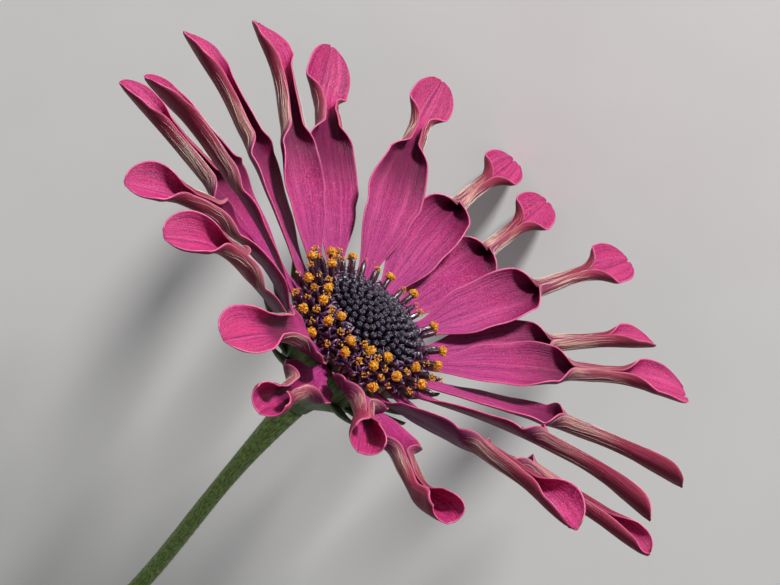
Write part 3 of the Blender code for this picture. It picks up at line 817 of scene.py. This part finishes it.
def stemLine(steps):
    # leaves the cup straight back, sways a little and comes down to lie with its cut end on the table
    s = stemMake
    top = bloom @ Vector((0, 0, (cupMake["top"] - cupMake["depth"] - s["gap"]) * mm))
    start = (turnOnly @ Vector((0, 0, -1))).normalized()
    end = Vector((top.x, top.y + s["length"] * s["reachBack"] * mm, s["radius"] * 1.02 * mm))
    reach = (end - top).length
    first = top + start * reach * s["topPull"]
    second = end + Vector((0, -reach * s["endPull"], reach * .030))
    t = np.linspace(0, 1, steps)[:, None]
    line = ((1 - t) ** 3 * np.array(top) + 3 * (1 - t) ** 2 * t * np.array(first)
            + 3 * (1 - t) * t ** 2 * np.array(second) + t ** 3 * np.array(end))
    t = t[:, 0]
    line[:, 0] += (s["endSide"] * ease((t - .35) / .65)
                   - s["sway"] * np.sin(math.pi * np.minimum(t / .7, 1)) ** 3) * mm
    return line


def makeStem():
    s = stemMake
    line = stemLine(s["rings"])
    along = np.gradient(line, axis=0)
    along /= np.linalg.norm(along, axis=1, keepdims=True)
    sideways = np.cross(along, (0, 0, 1.0))
    sideways /= np.linalg.norm(sideways, axis=1, keepdims=True)
    upward = np.cross(sideways, along)
    t = np.linspace(0, 1, s["rings"])
    radius = (s["radius"] + (s["topRadius"] - s["radius"]) * (1 - np.minimum(t / .16, 1)) ** 2) * mm
    angle = np.linspace(0, 2 * math.pi, s["sides"], endpoint=False)
    ribs = 1 + .022 * np.cos(7 * angle)[None] + .012 * np.sin(3 * angle + 9 * t[:, None])
    ring = np.cos(angle)[None, :, None] * sideways[:, None] + np.sin(angle)[None, :, None] * upward[:, None]
    points = line[:, None] + ring * (radius[:, None] * ribs)[..., None]
    faces = [f[::-1] for f in gridFaces(s["rings"], s["sides"], wrap=True)]
    last = (s["rings"] - 1) * s["sides"]
    faces.append(tuple(range(s["sides"])))
    faces.append(tuple(last + k for k in range(s["sides"]))[::-1])
    tube = meshFrom("stemTube", points.reshape(-1, 3), faces)
    tag(tube, "blade", [(a, b * 30, 0) for b in t for a in angle / 3])
    skin = greenLook("stemSkin", greenPaint["stemLight"], greenPaint["stemDark"])
    finishPiece(tube, ["stem"], [skin])
    growHairs(line, along, sideways, upward, radius)


def growHairs(line, along, sideways, upward, radius):
    # thin three-sided spikes that lean towards the cut end
    s = stemMake
    rng = np.random.default_rng(s["seed"])
    places, shapes = [], []
    for _ in range(s["hairs"]):
        at = rng.uniform(0, s["rings"] - 1.001)
        i, share = int(at), at - int(at)
        a = rng.uniform(0, 2 * math.pi)
        centre = line[i] * (1 - share) + line[i + 1] * share
        out = math.cos(a) * sideways[i] + math.sin(a) * upward[i]
        foot = centre + out * radius[i] * .97
        long = s["hairLength"] * rng.uniform(.45, 1.25) * mm
        way = out + along[i] * rng.uniform(-.3, .7) + rng.normal(0, .18, 3)
        way /= np.linalg.norm(way)
        tip = foot + way * long
        if tip[2] < .00002:  # it would reach into the table
            continue
        side = np.cross(way, along[i])
        side /= np.linalg.norm(side) + 1e-9
        other = np.cross(way, side)
        base = len(places)
        for b in thirds:
            places.append(foot + (math.cos(b) * side + math.sin(b) * other) * s["hairWidth"] / 2 * mm)
        places.append(tip)
        shapes += [(base, base + 1, base + 3), (base + 1, base + 2, base + 3), (base + 2, base, base + 3),
                   (base, base + 2, base + 1)]
    hairs = meshFrom("stemHairs", places, shapes, smooth=False)
    look = Look("stemHair", 0.5)
    patches = look.between(look.noise(look.place(), 900.0, 2), 0.4, 0.6)
    paint = look.colour(look.mixed(patches, greenPaint["hair"], greenPaint["stemLight"]))
    finishPiece(hairs, [], [paint])


makeStem()
print("stem and hairs")


# the lamps' places go right, up and back from the bloom, as the camera sees it
room = {"floor": (0.80, 0.79, 0.77), "world": 0.24, "worldColour": (0.95, 0.96, 1.0),
        "key": 5.6, "keySize": 0.12, "keyPlace": (0.33, 0.44, 0.30),
        "fill": 0.24, "fillSize": 0.5, "fillPlace": (-0.45, -0.10, 0.45)}


def makeFloor():
    corners = [(-1.5, -1.5, 0), (1.5, -1.5, 0), (1.5, 1.5, 0), (-1.5, 1.5, 0)]
    floor = meshFrom("tableTop", corners, [(0, 1, 2, 3)], smooth=False)
    look = Look("tablePaint", 0.75)
    grain = look.between(look.noise(look.place(), 60.0, 3), 0.3, 0.7)
    look.colour(look.mixed(grain, room["floor"], tuple(c * .97 for c in room["floor"])))
    floor.data.materials.append(look.material)


def makeLamp(name, place, size, power, sight):
    data = bpy.data.lights.new(name, "AREA")
    data.shape = "DISK"
    data.size = size
    data.energy = power
    made = bpy.data.objects.new(name, data)
    bpy.context.scene.collection.objects.link(made)
    away = sum((way * reach for way, reach in zip(sight, place)), Vector())
    made.location = Vector(bloomPlace["centre"]) + away
    made.rotation_euler = (-away).to_track_quat("-Z", "Y").to_euler()


def makeWorld():
    world = bpy.data.worlds.new("studio")
    world.use_nodes = True
    light = world.node_tree.nodes["Background"].inputs
    light["Color"].default_value = (*room["worldColour"], 1)
    light["Strength"].default_value = room["world"]
    bpy.context.scene.world = world
    bpy.context.scene.view_settings.view_transform = "Standard"


cameraFit = {"right": (.731, .381, .565), "up": (-.682, .409, .606), "back": (0, -.829, .559),
             "aside": 3.47, "above": 4.52, "away": 400.0, "lens": 202.2, "sensor": 36, "clip": (0.01, 10)}


def makeCamera():
    c = cameraFit
    right, up, back = (turnOnly @ Vector(c[k]) for k in ("right", "up", "back"))
    place = Vector(bloomPlace["centre"]) + (right * c["aside"] + up * c["above"] + back * c["away"]) * mm
    data = bpy.data.cameras.new("camera")
    data.sensor_width = c["sensor"]
    data.lens = c["lens"]
    data.clip_start, data.clip_end = c["clip"]
    camera = bpy.data.objects.new("camera", data)
    bpy.context.scene.collection.objects.link(camera)
    back.normalize()
    right = (right - back * right.dot(back)).normalized()
    up = back.cross(right)
    camera.matrix_world = Matrix.Translation(place) @ Matrix((
        (right.x, up.x, back.x), (right.y, up.y, back.y), (right.z, up.z, back.z))).to_4x4()
    bpy.context.scene.camera = camera
    return right, up, back


sight = makeCamera()
makeFloor()
makeLamp("keyLight", room["keyPlace"], room["keySize"], room["key"], sight)
makeLamp("fillLight", room["fillPlace"], room["fillSize"], room["fill"], sight)
makeWorld()
print("floor, lights and camera")
